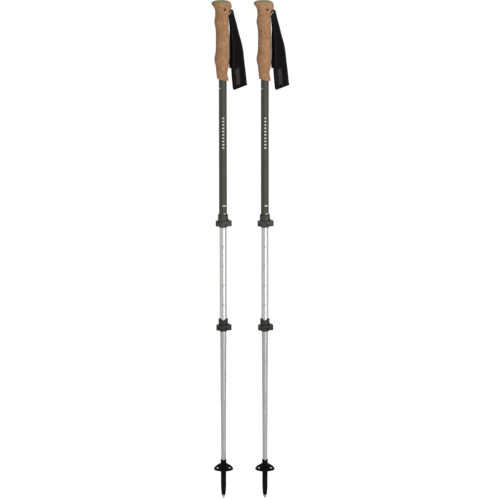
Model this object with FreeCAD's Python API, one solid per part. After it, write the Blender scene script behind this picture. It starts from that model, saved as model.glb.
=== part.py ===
import FreeCAD, Part
import math
import os

# A pair of three-section trekking poles, in millimetres.
# Heights are measured from the ground point of the carbide tip, X points to the
# strap side of the grip, and the camera side is -Y. The whole pair is moved down
# at the end, so that the origin is where a hand holds the left grip.

V = FreeCAD.Vector
os.makedirs("parts", exist_ok=True)

# Clearances, all on the radius
SLIDING_FIT = 0.1
GLUE_GAP = 0.05
PIN_FIT = 0.05
PRESS_GAP = 0.02
BUSH_FIT = 0.06
BASKET_FIT = 0.08
LIP_GAP = 0.35
MOVING_GAP = 0.3

# Tubes: each slides in the next one out
POLE_SPACING = 105.0
TUBE_WALL = 0.9
LOWER_TUBE_OD = 16.0
LOWER_TUBE_END_OD = 12.2
MIDDLE_TUBE_OD = LOWER_TUBE_OD + 2 * (SLIDING_FIT + TUBE_WALL)
UPPER_TUBE_OD = MIDDLE_TUBE_OD + 2 * (SLIDING_FIT + TUBE_WALL)

# Ferrule and basket, from the tip up
CARBIDE_SHANK_RADIUS = 2.5
CARBIDE_TOP = 25.0
CARBIDE_COLLAR_TOP = 8.2
SOCKET_WALL = 0.85
BASKET_SEAT_RADIUS = LOWER_TUBE_END_OD / 2 + GLUE_GAP + SOCKET_WALL
TIP_SEAT_RADIUS = BASKET_SEAT_RADIUS - 0.15
TIP_SEAT_BOTTOM = 30.0
TIP_SEAT_LENGTH = 32.0
BASKET_SEAT_LENGTH = 27.6
BASKET_STOP = TIP_SEAT_BOTTOM + TIP_SEAT_LENGTH + BASKET_SEAT_LENGTH
FERRULE_HEAD_RADIUS = BASKET_SEAT_RADIUS + 0.5
FERRULE_HEAD_LENGTH = 11.4
FERRULE_TOP = BASKET_STOP + FERRULE_HEAD_LENGTH
SOCKET_DEPTH = 29.0
LOWER_TUBE_BOTTOM = FERRULE_TOP - SOCKET_DEPTH
BASKET_RADIUS = 24.6
BASKET_DEPTH = 15.0
BASKET_SLOTS = 6
BASKET_SLOT_SPAN = 38.0
FERRULE_NOTCH = 2.0

# Heights of the two locks, and how far each tube reaches into the next one
COLLAR_LENGTH = 32.5
LOWER_COLLAR_BOTTOM = 434.5
LOWER_COLLAR_TOP = LOWER_COLLAR_BOTTOM + COLLAR_LENGTH
LOWER_TAPER_TOP = LOWER_COLLAR_BOTTOM - 6.0
LOWER_OVERLAP = 64.0
LOWER_TUBE_TOP = LOWER_COLLAR_TOP + LOWER_OVERLAP
UPPER_COLLAR_BOTTOM = 702.0
UPPER_COLLAR_TOP = UPPER_COLLAR_BOTTOM + COLLAR_LENGTH
MIDDLE_OVERLAP = 150.0
MIDDLE_TUBE_TOP = UPPER_COLLAR_TOP + MIDDLE_OVERLAP

# Lever lock
COLLAR_WALL = 3.0
UPPER_NOTCH = 2.5
LOWER_NOTCH = 4.0
LIP_HEIGHT = 2.0
BAND_HEIGHT = 13.0
BAND_ABOVE_BOTTOM = 10.0
EAR_THICKNESS = 5.4
EAR_SLIT = 2.4
EAR_REACH = 5.5
BOLT_RADIUS = 1.7
LEVER_PIN_RADIUS = 1.2
CAM_RADIUS = 2.5
CAM_THROW = 0.4
EYE_RADIUS = 2.5
EYE_HEIGHT = 3.6
ARM_GAP = 0.5
ARM_THICKNESS = 2.8
TAB_REACH = 9.0

# Webbing and the pin that holds it
WEBBING_WIDTH = 18.0
WEBBING_THICKNESS = 1.6
LAYER_GAP = 0.4
CUFF_WIDTH = 36.5
CUFF_GAP = 10.5
TAIL_THICKNESS = 1.4
STRAP_PIN_RADIUS = 2.4
STRAP_PIN_RECESS = STRAP_PIN_RADIUS + 0.5
STRAP_PIN_X = 6.0
RING_INNER = STRAP_PIN_RADIUS + MOVING_GAP
RING_OUTER = RING_INNER + WEBBING_THICKNESS
WEDGE_HEIGHT = 3.4
SLOT_SIDE_GAP = 0.6

# Grip: its heights go up and down with the top of the shaft
UPPER_TUBE_TOP = 1234.0
PIN_ABOVE_TUBE = 22.0
STRAP_PIN_HEIGHT = UPPER_TUBE_TOP + PIN_ABOVE_TUBE
MOUTH_HEIGHT = STRAP_PIN_HEIGHT - RING_OUTER - LAYER_GAP / 2
POCKET_TOP = STRAP_PIN_HEIGHT + RING_OUTER + 0.7
POCKET_BOTTOM = MOUTH_HEIGHT - LAYER_GAP / 2 - WEBBING_THICKNESS - MOVING_GAP - WEDGE_HEIGHT - 0.5
CORE_WALL = 2.0
CORE_RADIUS = UPPER_TUBE_OD / 2 + CORE_WALL
CORE_ROOF = 1.0
CORE_LENGTH = 162.0
CORE_TOP = POCKET_TOP + CORE_ROOF
CORE_BOTTOM = CORE_TOP - CORE_LENGTH
CORK_TOP = CORE_TOP + 8.0
HOLD_HEIGHT = CORK_TOP - 100.0
MOUTH_REACH = 12.2
MOUTH_X = UPPER_TUBE_OD / 2 + MOUTH_REACH


def tube(radius_out, radius_in, bottom, top, x=0.0, y=0.0):
    """Plain upright tube between two heights."""
    outer = Part.makeCylinder(radius_out, top - bottom, V(x, y, bottom))
    inner = Part.makeCylinder(radius_in, top - bottom + 2, V(x, y, bottom - 1))
    return outer.cut(inner)


def turned(points):
    """Body of revolution about Z from (radius, height) corners."""
    corners = [V(r, 0, z) for r, z in points]
    face = Part.Face(Part.makePolygon(corners + [corners[0]]))
    return face.revolve(V(0, 0, 0), V(0, 0, 1), 360)


def plate(points, bottom, top):
    """Upright prism from (x, y) corners."""
    corners = [V(x, y, bottom) for x, y in points]
    return Part.Face(Part.makePolygon(corners + [corners[0]])).extrude(V(0, 0, top - bottom))


def side_prism(points, half_width):
    """Prism along Y from (x, z) corners, centred on y = 0."""
    corners = [V(x, -half_width, z) for x, z in points]
    return Part.Face(Part.makePolygon(corners + [corners[0]])).extrude(V(0, 2 * half_width, 0))


def box(x0, x1, y0, y1, z0, z1):
    """Box from its six limits."""
    return Part.makeBox(x1 - x0, y1 - y0, z1 - z0, V(x0, y0, z0))


def oval(back, front, half_width, height):
    """Closed smooth outline between two x limits, as one periodic curve."""
    middle = (back + front) / 2
    reach = (front - back) / 2
    points = []
    for i in range(16):
        a = 2 * math.pi * i / 16
        points.append(V(middle + reach * math.cos(a), half_width * math.sin(a), height))
    curve = Part.BSplineCurve()
    curve.interpolate(points, PeriodicFlag=True)
    return Part.Wire(curve.toShape())


# Grip: (height below the top of the cork, and how far the cork stands out from
# the shaft on the beak side, on the strap side and sideways), read off the side view
GRIP_SECTIONS = [
    (197.0, 3.9, 3.2, 3.0),
    (186.0, 4.8, 3.0, 3.4),
    (176.0, 5.9, 1.6, 3.4),
    (165.4, 6.9, 3.6, 3.8),
    (155.0, 8.3, 6.0, 4.3),
    (141.0, 10.9, 5.8, 4.8),
    (124.4, 8.2, 5.6, 4.6),
    (108.0, 7.3, 5.6, 4.4),
    (72.0, 7.3, 5.6, 4.4),
    (59.0, 8.8, 5.2, 4.5),
    (45.0, 10.8, 4.8, 4.7),
    (32.0, 8.7, 4.9, 4.9),
    (22.0, 8.8, 8.9, 5.3),
    (13.5, 10.3, 12.0, 5.8),
    (6.0, 15.0, 12.5, 6.2),
    (0.0, 17.9, 10.9, 5.6),
]

CAP_SECTIONS = [
    (-0.1, 17.9, 10.9, 5.6),
    (-3.6, 15.9, 8.3, 4.2),
    (-6.3, 10.0, 3.0, 0.6),
    (-7.8, -1.0, -6.0, -5.0),
]


def loft(sections, smooth=True):
    """Solid through oval sections, given as drops from the top of the cork."""
    shaft = UPPER_TUBE_OD / 2
    wires = []
    for drop, beak, back, side in sections:
        wires.append(oval(-shaft - beak, shaft + back, shaft + side, CORK_TOP - drop))
    return Part.makeLoft(wires, True, not smooth)


def strap_pocket(far):
    """Room round the strap pin, from its near side out to the given x."""
    half = WEBBING_WIDTH / 2 + SLOT_SIDE_GAP
    return box(STRAP_PIN_X - RING_OUTER - 0.9, far, -half, half, POCKET_BOTTOM, POCKET_TOP)


def strap_mouth_cut():
    """Window in the back of the grip head where the webbing comes out."""
    half = WEBBING_WIDTH / 2 + SLOT_SIDE_GAP
    top = MOUTH_HEIGHT + LAYER_GAP / 2 + WEBBING_THICKNESS + SLOT_SIDE_GAP
    slot = box(STRAP_PIN_X - RING_INNER, MOUTH_X + 8, -half, half, POCKET_BOTTOM, top)
    return slot.fuse(strap_pocket(STRAP_PIN_X + RING_OUTER + SLOT_SIDE_GAP))


def grip_core():
    """Sleeve round the shaft with a solid head that holds the strap pin."""
    bore = UPPER_TUBE_OD / 2 + GLUE_GAP
    shaft_end = UPPER_TUBE_TOP + 0.1
    sleeve = tube(CORE_RADIUS, bore, CORE_BOTTOM, shaft_end)
    head = Part.makeCylinder(CORE_RADIUS, CORE_TOP - shaft_end, V(0, 0, shaft_end))
    body = sleeve.fuse(head).removeSplitter()
    return body.cut(strap_pocket(CORE_RADIUS + 0.5)).cut(cross_hole(STRAP_PIN_RADIUS + GLUE_GAP))


def tube_room(bottom, top):
    """Cutter for the shaft between two heights."""
    return Part.makeCylinder(UPPER_TUBE_OD / 2 + GLUE_GAP, top - bottom, V(0, 0, bottom))


def cross_hole(radius):
    """Cutter along the strap pin's axis, right through the grip."""
    return Part.makeCylinder(radius, 60, V(STRAP_PIN_X, -30, STRAP_PIN_HEIGHT), V(0, 1, 0))


def cork_grip():
    """Moulded cork with finger swells, a beak in front and a slanted lower end."""
    body = loft(GRIP_SECTIONS)
    core_room = CORE_LENGTH + 2 * GLUE_GAP
    core_bore = Part.makeCylinder(CORE_RADIUS + GLUE_GAP, core_room, V(0, 0, CORE_BOTTOM - GLUE_GAP))
    bottom = CORK_TOP - GRIP_SECTIONS[0][0]
    shaft_bore = tube_room(bottom - 10, CORE_BOTTOM + 10)
    low = bottom - 13
    slanted_end = side_prism([(-40, low), (40, low), (40, bottom - 3.4), (-40, bottom + 12.8)], 40)
    body = body.cut(core_bore).cut(shaft_bore).cut(cross_hole(STRAP_PIN_RECESS))
    return body.cut(strap_mouth_cut()).cut(slanted_end)


def grip_cap():
    """Rubbery cap that closes the domed top of the grip."""
    return loft(CAP_SECTIONS)


def strap_pin():
    """Cross pin of the strap, sunk a little below the cork on both sides."""
    return Part.makeCylinder(STRAP_PIN_RADIUS, 25.0, V(STRAP_PIN_X, -12.5, STRAP_PIN_HEIGHT), V(0, 1, 0))


def strap_wedge():
    """Locking wedge under the webbing in the slot."""
    top = MOUTH_HEIGHT - WEBBING_THICKNESS - LAYER_GAP / 2 - MOVING_GAP
    thick = CORE_RADIUS + 0.9
    thin = MOUTH_X - 2.7
    points = [(thick, top), (thin, top), (thin, top - WEDGE_HEIGHT + 1.0), (thick, top - WEDGE_HEIGHT)]
    return side_prism(points, WEBBING_WIDTH / 2 - SLOT_SIDE_GAP)


def strap_root():
    """Webbing inside the grip: round the pin and out to the mouth of the slot."""
    half = WEBBING_WIDTH / 2
    low = MOUTH_HEIGHT - LAYER_GAP / 2 - WEBBING_THICKNESS
    high = MOUTH_HEIGHT + LAYER_GAP / 2 + WEBBING_THICKNESS
    ring = Part.makeCylinder(RING_OUTER, 2 * half, V(STRAP_PIN_X, -half, STRAP_PIN_HEIGHT), V(0, 1, 0))
    legs = box(STRAP_PIN_X, MOUTH_X - MOVING_GAP, -half, half, low, high)
    return ring.fuse(legs).removeSplitter().cut(cross_hole(RING_INNER))


# Strap: (x from the mouth, drop below it) of the middle line, lean of the run, turn of
# the width from Y towards X, share of the widening to the cuff, share of its opening
STRAP_STATIONS = [
    (0.4, 0.0, 80.0, 0.0, 0.0, 0.0),
    (3.6, 1.6, 50.0, 1.0, 0.0, 0.01),
    (5.2, 6.0, 18.0, 4.0, 0.0, 0.04),
    (5.7, 13.5, 5.0, 9.0, 0.03, 0.16),
    (5.8, 24.5, 6.0, 20.0, 0.06, 0.31),
    (8.2, 44.5, 8.0, 38.0, 0.16, 0.42),
    (10.9, 64.5, 8.0, 47.0, 0.28, 0.7),
    (13.5, 85.5, 8.0, 55.0, 0.48, 0.85),
    (15.2, 105.5, 6.0, 63.0, 0.65, 0.95),
    (16.1, 126.5, 5.0, 70.0, 0.76, 1.0),
    (17.5, 146.5, 5.0, 74.0, 0.87, 1.0),
    (19.4, 167.5, 5.0, 77.0, 0.95, 0.95),
    (21.4, 189.0, 6.0, 79.0, 1.0, 0.8),
]
FOLD_TILT = 0.74


def strap_frame(lean, turn, tilt=0.0):
    """Width and normal directions of a strap section.

    lean is the angle of the run away from straight down, turn takes the width
    from Y towards X, and tilt drops the near edge of the cuff."""
    lean, turn, tilt = (math.radians(a) for a in (lean, turn, tilt))
    along = V(math.sin(lean), 0, -math.cos(lean))
    across = V(math.cos(lean), 0, math.sin(lean))
    width = V(across.x * math.sin(turn), math.cos(turn), across.z * math.sin(turn))
    width = width + V(0, 0, math.tan(tilt) * math.sin(turn))
    width.normalize()
    normal = along.cross(width)
    normal.normalize()
    return width, normal


def strap_section(centre, width, normal, breadth, thickness):
    """Rectangle of webbing across the run."""
    w = width * (breadth / 2)
    n = normal * (thickness / 2)
    corners = [centre - w - n, centre + w - n, centre + w + n, centre - w + n]
    return Part.makePolygon(corners + [corners[0]])


def strap_row(station):
    """Centre, directions, breadth and gap at one station of the wrist loop."""
    x, drop, lean, turn, widening, opening = station
    width, normal = strap_frame(lean, turn, max(0.0, turn - 60.0) * FOLD_TILT)
    breadth = WEBBING_WIDTH + widening * (CUFF_WIDTH - WEBBING_WIDTH)
    gap = LAYER_GAP + opening * (CUFF_GAP - LAYER_GAP)
    return V(MOUTH_X + x, 0, MOUTH_HEIGHT - drop), width, normal, breadth, (gap + WEBBING_THICKNESS) / 2


def wrist_strap():
    """Wrist loop: down one layer, round the fold at the bottom, up the other."""
    down, up, fold = [], [], []
    for station in STRAP_STATIONS:
        centre, width, normal, breadth, offset = strap_row(station)
        down.append(strap_section(centre + normal * offset, width, normal, breadth, WEBBING_THICKNESS))
        up.append(strap_section(centre - normal * offset, width, normal * -1, breadth, WEBBING_THICKNESS))
    along = normal.cross(width)
    along.normalize()
    if along.z > 0:
        along = along * -1
    for i in range(1, 6):
        a = math.pi * i / 6
        out = normal * math.cos(a) + along * math.sin(a)
        fold.append(strap_section(centre + out * offset, width, out, breadth, WEBBING_THICKNESS))
    return Part.makeLoft(down + fold + list(reversed(up)), True, True)


# Tail: (x from the mouth, y, drop below it) of its middle line, and turn of the width
TAIL_STATIONS = [
    (1.0, 0.0, 4.3, 0.0),
    (1.2, 0.0, 8.5, 2.0),
    (1.1, 0.0, 12.3, 5.0),
    (-1.0, 0.0, 16.5, 20.0),
    (-1.9, 0.0, 22.0, 25.0),
    (-2.0, 0.0, 30.5, 24.0),
    (-0.9, 0.0, 40.0, 20.0),
    (-0.9, 0.5, 62.0, 20.0),
    (-2.0, 1.5, 80.0, 22.0),
    (-2.0, 3.0, 105.5, 22.0),
    (-1.3, 4.0, 145.8, 22.0),
]


def strap_tail():
    """Loose end of the webbing, hanging down the back of the grip."""
    wires = []
    for x, y, drop, turn in TAIL_STATIONS:
        width, normal = strap_frame(2.0, turn)
        centre = V(MOUTH_X + x, y, MOUTH_HEIGHT - drop)
        wires.append(strap_section(centre, width, normal, WEBBING_WIDTH, TAIL_THICKNESS))
    return Part.makeLoft(wires, True, True)


def bore_of(inner_od):
    """Radius of the bore that a tube of the given size slides in."""
    return inner_od / 2 + SLIDING_FIT


def upper_tube():
    """Painted tube from the upper collar to the head of the grip."""
    bottom = UPPER_COLLAR_BOTTOM + LIP_HEIGHT + 0.3
    return tube(UPPER_TUBE_OD / 2, bore_of(MIDDLE_TUBE_OD), bottom, UPPER_TUBE_TOP)


def middle_tube():
    """Bare tube with the length scale."""
    bottom = LOWER_COLLAR_BOTTOM + LIP_HEIGHT + 0.3
    return tube(MIDDLE_TUBE_OD / 2, bore_of(LOWER_TUBE_OD), bottom, MIDDLE_TUBE_TOP)


def lower_tube():
    """Bare tube, straight where the lock can clamp it and tapered below."""
    top = LOWER_TUBE_OD / 2
    end = LOWER_TUBE_END_OD / 2
    taper_end = FERRULE_TOP + 2.0
    points = [
        (top, LOWER_TUBE_TOP),
        (top, LOWER_TAPER_TOP),
        (end, taper_end),
        (end, LOWER_TUBE_BOTTOM),
        (end - TUBE_WALL, LOWER_TUBE_BOTTOM),
        (end - TUBE_WALL, taper_end),
        (top - TUBE_WALL, LOWER_TAPER_TOP),
        (top - TUBE_WALL, LOWER_TUBE_TOP),
    ]
    return turned(points)


def guide_bush(tube_top, inner_radius, outer_bore):
    """Plug in the top of an inner tube whose flange rides in the outer tube."""
    shank = inner_radius - GLUE_GAP
    flange = outer_bore - BUSH_FIT
    seat = tube_top + GLUE_GAP
    points = [
        (shank - 2.0, tube_top - 10.0),
        (shank, tube_top - 10.0),
        (shank, seat),
        (flange, seat),
        (flange, seat + 2.4),
        (flange - 0.6, seat + 3.0),
        (shank - 2.0, seat + 3.0),
    ]
    return turned(points)


class Lock:
    """Lever lock on the end of an outer tube, with its slit on the -X side."""

    def __init__(self, outer_od, inner_od, bottom, top, notch):
        self.outer_od = outer_od
        self.inner_od = inner_od
        self.bottom = bottom
        self.top = top
        self.notch = notch
        self.radius = outer_od / 2 + COLLAR_WALL
        self.band = bottom + BAND_ABOVE_BOTTOM
        self.ear_half = EAR_SLIT / 2 + EAR_THICKNESS
        self.bolt_x = -(self.radius + 2.6)
        self.pivot_y = -(self.ear_half + MOVING_GAP + CAM_RADIUS + CAM_THROW)

    def collar(self):
        """Plastic sleeve with a notched top rim, a slit and two ears."""
        r = self.radius
        b, t = self.bottom, self.top
        half = BAND_HEIGHT / 2 - 0.8
        body = turned([
            (self.inner_od / 2 + LIP_GAP, b),
            (r - 2.2, b),
            (r, b + 3.0),
            (r, t - 2.0),
            (r - 0.6, t),
            (self.outer_od / 2 + GLUE_GAP, t),
            (self.outer_od / 2 + GLUE_GAP, b + LIP_HEIGHT),
            (self.inner_od / 2 + LIP_GAP, b + LIP_HEIGHT),
        ])
        low, high = self.band - half, self.band + half
        ears = box(-(r + EAR_REACH), -(r - 1.5), -self.ear_half, self.ear_half, low, high)
        ears = ears.makeFillet(1.6, [e for e in ears.Edges if self.is_outer_ear_edge(e)])
        body = body.fuse(ears).removeSplitter()
        slit = box(-(r + 8), -(self.inner_od / 2 - 1), -EAR_SLIT / 2, EAR_SLIT / 2, b - 1, high + 5)
        body = body.cut(slit)
        bolt_hole = Part.makeCylinder(BOLT_RADIUS + 0.1, 30, V(self.bolt_x, -15, self.band), V(0, 1, 0))
        body = body.cut(bolt_hole)
        notch = side_prism([(-(r - 1.0), t + 1), (r - 1.0, t + 1), (0, t - self.notch)], 30)
        return body.cut(notch)

    def is_outer_ear_edge(self, edge):
        """True for the upright edges on the far side of the ears."""
        low, high = edge.BoundBox.ZMin, edge.BoundBox.ZMax
        far = edge.BoundBox.XMax < -(self.radius + EAR_REACH) + 0.01
        return far and high - low > 2

    def bolt(self):
        """Eye bolt through both ears, with the eye round the lever pin."""
        length = self.ear_half + 4.6 - self.pivot_y
        shank = Part.makeCylinder(BOLT_RADIUS, length, V(self.bolt_x, self.pivot_y, self.band), V(0, 1, 0))
        low = self.band - EYE_HEIGHT / 2
        eye = Part.makeCylinder(EYE_RADIUS, EYE_HEIGHT, V(self.bolt_x, self.pivot_y, low))
        foot = V(self.bolt_x, self.pivot_y, low - 1)
        hole = Part.makeCylinder(LEVER_PIN_RADIUS + PRESS_GAP, EYE_HEIGHT + 2, foot)
        return shank.fuse(eye).cut(hole)

    def nut(self):
        """Six-sided nut against the back ear."""
        reach = BOLT_RADIUS + 1.5
        seat = self.ear_half + GLUE_GAP
        corners = []
        for i in range(6):
            a = math.pi * i / 3
            corners.append(V(self.bolt_x + reach * math.cos(a), seat, self.band + reach * math.sin(a)))
        body = Part.Face(Part.makePolygon(corners + [corners[0]])).extrude(V(0, 2.8, 0))
        foot = V(self.bolt_x, self.ear_half - 1, self.band)
        hole = Part.makeCylinder(BOLT_RADIUS + GLUE_GAP, 8, foot, V(0, 1, 0))
        return body.cut(hole)

    def lever_pin(self):
        """Hinge pin of the lever, upright through the eye."""
        height = BAND_HEIGHT - 0.6
        foot = V(self.bolt_x, self.pivot_y, self.band - height / 2)
        return Part.makeCylinder(LEVER_PIN_RADIUS, height, foot)

    def lever(self):
        """Cam lever, closed round the front of the collar, with a thumb tab."""
        near = self.radius + ARM_GAP
        far = near + ARM_THICKNESS
        low = self.band - BAND_HEIGHT / 2
        high = self.band + BAND_HEIGHT / 2
        ring = tube(far, near, low, high)
        reach = 4 * far
        start, end = math.radians(216), math.radians(332)
        middle = (start + end) / 2
        sector = plate([
            (0, 0),
            (reach * math.cos(start), reach * math.sin(start)),
            (reach * math.cos(middle), reach * math.sin(middle)),
            (reach * math.cos(end), reach * math.sin(end)),
        ], low, high)
        arm = ring.common(sector)
        cam_y = self.pivot_y + CAM_THROW
        cam = Part.makeCylinder(CAM_RADIUS, BAND_HEIGHT, V(self.bolt_x, cam_y, low))
        foot = math.radians(236)
        link = plate([
            (self.bolt_x, cam_y + CAM_RADIUS - 0.2),
            (near * math.cos(start), near * math.sin(start)),
            (far * math.cos(foot), far * math.sin(foot)),
            (self.bolt_x - 0.6, cam_y - CAM_RADIUS + 0.1),
        ], low, high)
        inside = Part.makeCylinder(near, 60, V(0, 0, low - 20))
        tab_x = self.radius + TAB_REACH
        tab_high = high + 5.5
        tab = plate([
            (near * math.cos(math.radians(322)), near * math.sin(math.radians(322))),
            (near * math.cos(math.radians(338)), near * math.sin(math.radians(338))),
            (tab_x - 1.0, -3.0),
            (tab_x, -4.2),
            (tab_x, -6.6),
            (tab_x - 3.0, -8.6),
            (far * math.cos(math.radians(316)), far * math.sin(math.radians(316))),
        ], low, tab_high)
        slope = side_prism([
            (self.radius - 3.0, high),
            (self.radius - 0.6, tab_high),
            (tab_x + 2, high - 0.6),
            (tab_x + 2, tab_high + 5),
            (self.radius - 6.0, tab_high + 5),
            (self.radius - 6.0, high),
        ], 40)
        body = arm.fuse(cam).fuse(link).fuse(tab.cut(slope)).cut(inside)
        fork_foot = V(self.bolt_x, self.pivot_y, self.band - EYE_HEIGHT / 2 - MOVING_GAP)
        fork = Part.makeCylinder(EYE_RADIUS + 1.3, EYE_HEIGHT + 2 * MOVING_GAP, fork_foot)
        hole = Part.makeCylinder(LEVER_PIN_RADIUS + PIN_FIT, 40, V(self.bolt_x, self.pivot_y, low - 10))
        window = box(3.6, 9.0, -(far + 2), -(near - 4), self.band - 4.2, self.band + 0.6)
        return body.cut(fork).cut(hole).cut(window).removeSplitter()


def tip_ferrule():
    """Moulded end piece: socket for the tube, seat for the basket, tapered nose."""
    socket = LOWER_TUBE_END_OD / 2 + GLUE_GAP
    tip_bore = CARBIDE_SHANK_RADIUS + GLUE_GAP
    nose = CARBIDE_COLLAR_TOP + MOVING_GAP
    hollow = CARBIDE_TOP + 9.0
    body = turned([
        (tip_bore, nose),
        (tip_bore + 2.35, nose),
        (tip_bore + 2.85, nose + 3.5),
        (TIP_SEAT_RADIUS, TIP_SEAT_BOTTOM),
        (TIP_SEAT_RADIUS, TIP_SEAT_BOTTOM + TIP_SEAT_LENGTH),
        (BASKET_SEAT_RADIUS, TIP_SEAT_BOTTOM + TIP_SEAT_LENGTH + 1.0),
        (BASKET_SEAT_RADIUS, BASKET_STOP),
        (FERRULE_HEAD_RADIUS, BASKET_STOP),
        (FERRULE_HEAD_RADIUS, FERRULE_TOP),
        (socket, FERRULE_TOP),
        (socket, LOWER_TUBE_BOTTOM - 0.1),
        (socket - 1.95, LOWER_TUBE_BOTTOM - 0.1),
        (socket - 1.95, hollow),
        (1.5, hollow),
        (1.5, CARBIDE_TOP + 0.1),
        (tip_bore, CARBIDE_TOP + 0.1),
    ])
    rim = FERRULE_HEAD_RADIUS - 1.0
    above = FERRULE_TOP + 1.0
    notch = side_prism([(-rim, above), (rim, above), (0, FERRULE_TOP - FERRULE_NOTCH)], 20)
    return body.cut(notch)


def carbide_tip():
    """Hard tip with a flared collar and a hollow ground end."""
    collar = CARBIDE_SHANK_RADIUS + 1.7
    return turned([
        (0, 1.2),
        (1.0, 1.0),
        (1.7, 0.0),
        (2.1, 0.4),
        (3.0, 4.5),
        (collar, CARBIDE_COLLAR_TOP - 2.2),
        (collar, CARBIDE_COLLAR_TOP),
        (CARBIDE_SHANK_RADIUS, CARBIDE_COLLAR_TOP),
        (CARBIDE_SHANK_RADIUS, CARBIDE_TOP),
        (0, CARBIDE_TOP),
    ])


def basket():
    """Slotted dome that slides on the ferrule from below."""
    bore = BASKET_SEAT_RADIUS + BASKET_FIT
    rim = BASKET_RADIUS
    top = BASKET_STOP - LIP_GAP
    low = BASKET_STOP - BASKET_DEPTH
    body = turned([
        (bore, low + 2.0),
        (bore + 1.8, low + 2.0),
        (bore + 2.2, top - 5.6),
        (bore + 6.2, top - 5.2),
        (rim - 6.2, low + 6.6),
        (rim - 2.6, low + 3.0),
        (rim - 1.8, low),
        (rim, low),
        (rim, low + 3.2),
        (rim - 0.9, low + 4.6),
        (rim - 4.6, low + 8.6),
        (bore + 8.0, top - 2.4),
        (bore + 3.4, top),
        (bore, top),
    ])
    slot_ring = tube(rim - 2.9, bore + 5.0, low - 10.0, top + 5.0)
    half = math.radians(BASKET_SLOT_SPAN / 2)
    reach = 2 * rim
    for i in range(BASKET_SLOTS):
        a = 2 * math.pi * (i + 0.5) / BASKET_SLOTS
        wedge = plate([
            (0, 0),
            (reach * math.cos(a - half), reach * math.sin(a - half)),
            (reach * math.cos(a + half), reach * math.sin(a + half)),
        ], low - 10.0, top + 5.0)
        body = body.cut(slot_ring.common(wedge))
    return body


def one_pole():
    """All pieces of one pole, by name, with the pole axis on x = 0."""
    upper = Lock(UPPER_TUBE_OD, MIDDLE_TUBE_OD, UPPER_COLLAR_BOTTOM, UPPER_COLLAR_TOP, UPPER_NOTCH)
    lower = Lock(MIDDLE_TUBE_OD, LOWER_TUBE_OD, LOWER_COLLAR_BOTTOM, LOWER_COLLAR_TOP, LOWER_NOTCH)
    pieces = {
        "grip_core": grip_core(),
        "cork_grip": cork_grip(),
        "grip_cap": grip_cap(),
        "strap_pin": strap_pin(),
        "strap_wedge": strap_wedge(),
        "strap_root": strap_root(),
        "wrist_strap": wrist_strap(),
        "strap_tail": strap_tail(),
        "upper_tube": upper_tube(),
        "middle_tube": middle_tube(),
        "lower_tube": lower_tube(),
        "middle_bush": guide_bush(MIDDLE_TUBE_TOP, bore_of(LOWER_TUBE_OD), bore_of(MIDDLE_TUBE_OD)),
        "lower_bush": guide_bush(LOWER_TUBE_TOP, LOWER_TUBE_OD / 2 - TUBE_WALL, bore_of(LOWER_TUBE_OD)),
        "tip_ferrule": tip_ferrule(),
        "carbide_tip": carbide_tip(),
        "basket": basket(),
    }
    for name, lock in (("upper", upper), ("lower", lower)):
        pieces[name + "_collar"] = lock.collar()
        pieces[name + "_lever"] = lock.lever()
        pieces[name + "_lever_pin"] = lock.lever_pin()
        pieces[name + "_bolt"] = lock.bolt()
        pieces[name + "_nut"] = lock.nut()
    return pieces


for side, x in (("left", 0.0), ("right", POLE_SPACING)):
    for name, shape in one_pole().items():
        shape.translate(V(x, 0, -HOLD_HEIGHT))
        print(side, name, shape.isValid(), len(shape.Solids), round(shape.Volume, 1))
        shape.exportStep("parts/" + side + "_" + name + ".step")
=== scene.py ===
import logging
import math
from dataclasses import dataclass, field
from enum import Enum
from typing import Iterable, Sequence

import bpy
import numpy as np
from mathutils import Matrix, Vector


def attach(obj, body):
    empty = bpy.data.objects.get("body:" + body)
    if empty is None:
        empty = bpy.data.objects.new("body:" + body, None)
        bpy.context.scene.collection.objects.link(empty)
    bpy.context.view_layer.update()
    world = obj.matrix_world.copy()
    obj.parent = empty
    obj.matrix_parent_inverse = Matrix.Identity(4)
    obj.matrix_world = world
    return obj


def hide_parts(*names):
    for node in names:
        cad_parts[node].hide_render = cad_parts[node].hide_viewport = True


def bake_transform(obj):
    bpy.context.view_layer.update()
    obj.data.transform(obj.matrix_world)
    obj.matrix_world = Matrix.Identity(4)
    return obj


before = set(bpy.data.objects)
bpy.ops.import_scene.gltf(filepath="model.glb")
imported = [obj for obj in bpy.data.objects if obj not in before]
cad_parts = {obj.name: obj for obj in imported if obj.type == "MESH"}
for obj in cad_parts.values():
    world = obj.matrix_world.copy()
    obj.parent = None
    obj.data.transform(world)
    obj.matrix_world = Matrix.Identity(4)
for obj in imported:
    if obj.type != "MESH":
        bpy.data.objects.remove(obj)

# A pair of trekking poles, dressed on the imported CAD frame.
#
# The frame of the CAD is in metres: +Z up along the poles, +X from the finger side
# of a grip to its strap side, and the levers face -Y. The pieces made here hold
# millimetres, with heights above the ground point of the tips, as the part's own
# source does.

Node = bpy.types.Node
Material = bpy.types.Material
Piece = bpy.types.Object

LOG = logging.getLogger("poles")
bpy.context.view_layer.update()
MM = 0.001
HOLD_HEIGHT = 1170.0
ORIGIN = np.array([0.0, 0.0, HOLD_HEIGHT])


class Side(Enum):
    """Which of the two poles a piece belongs to, with the pole axis in mm."""

    LEFT = ("left", 0.0)
    RIGHT = ("right", 105.0)

    @property
    def label(self) -> str:
        """Prefix of the pole's node and body names."""
        return self.value[0]

    @property
    def axis_x(self) -> float:
        """X of the pole axis, in mm."""
        return self.value[1]


def colour(code: str) -> tuple[float, float, float, float]:
    """Linear colour of a screen colour.

    Args:
        code: six-figure sRGB code, such as "#9b7353".

    Returns:
        Linear red, green, blue and an alpha of 1.
    """
    parts = [int(code[i:i + 2], 16) / 255 for i in (1, 3, 5)]
    linear = [p / 12.92 if p <= 0.04045 else ((p + 0.055) / 1.055) ** 2.4 for p in parts]
    return (linear[0], linear[1], linear[2], 1.0)


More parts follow.
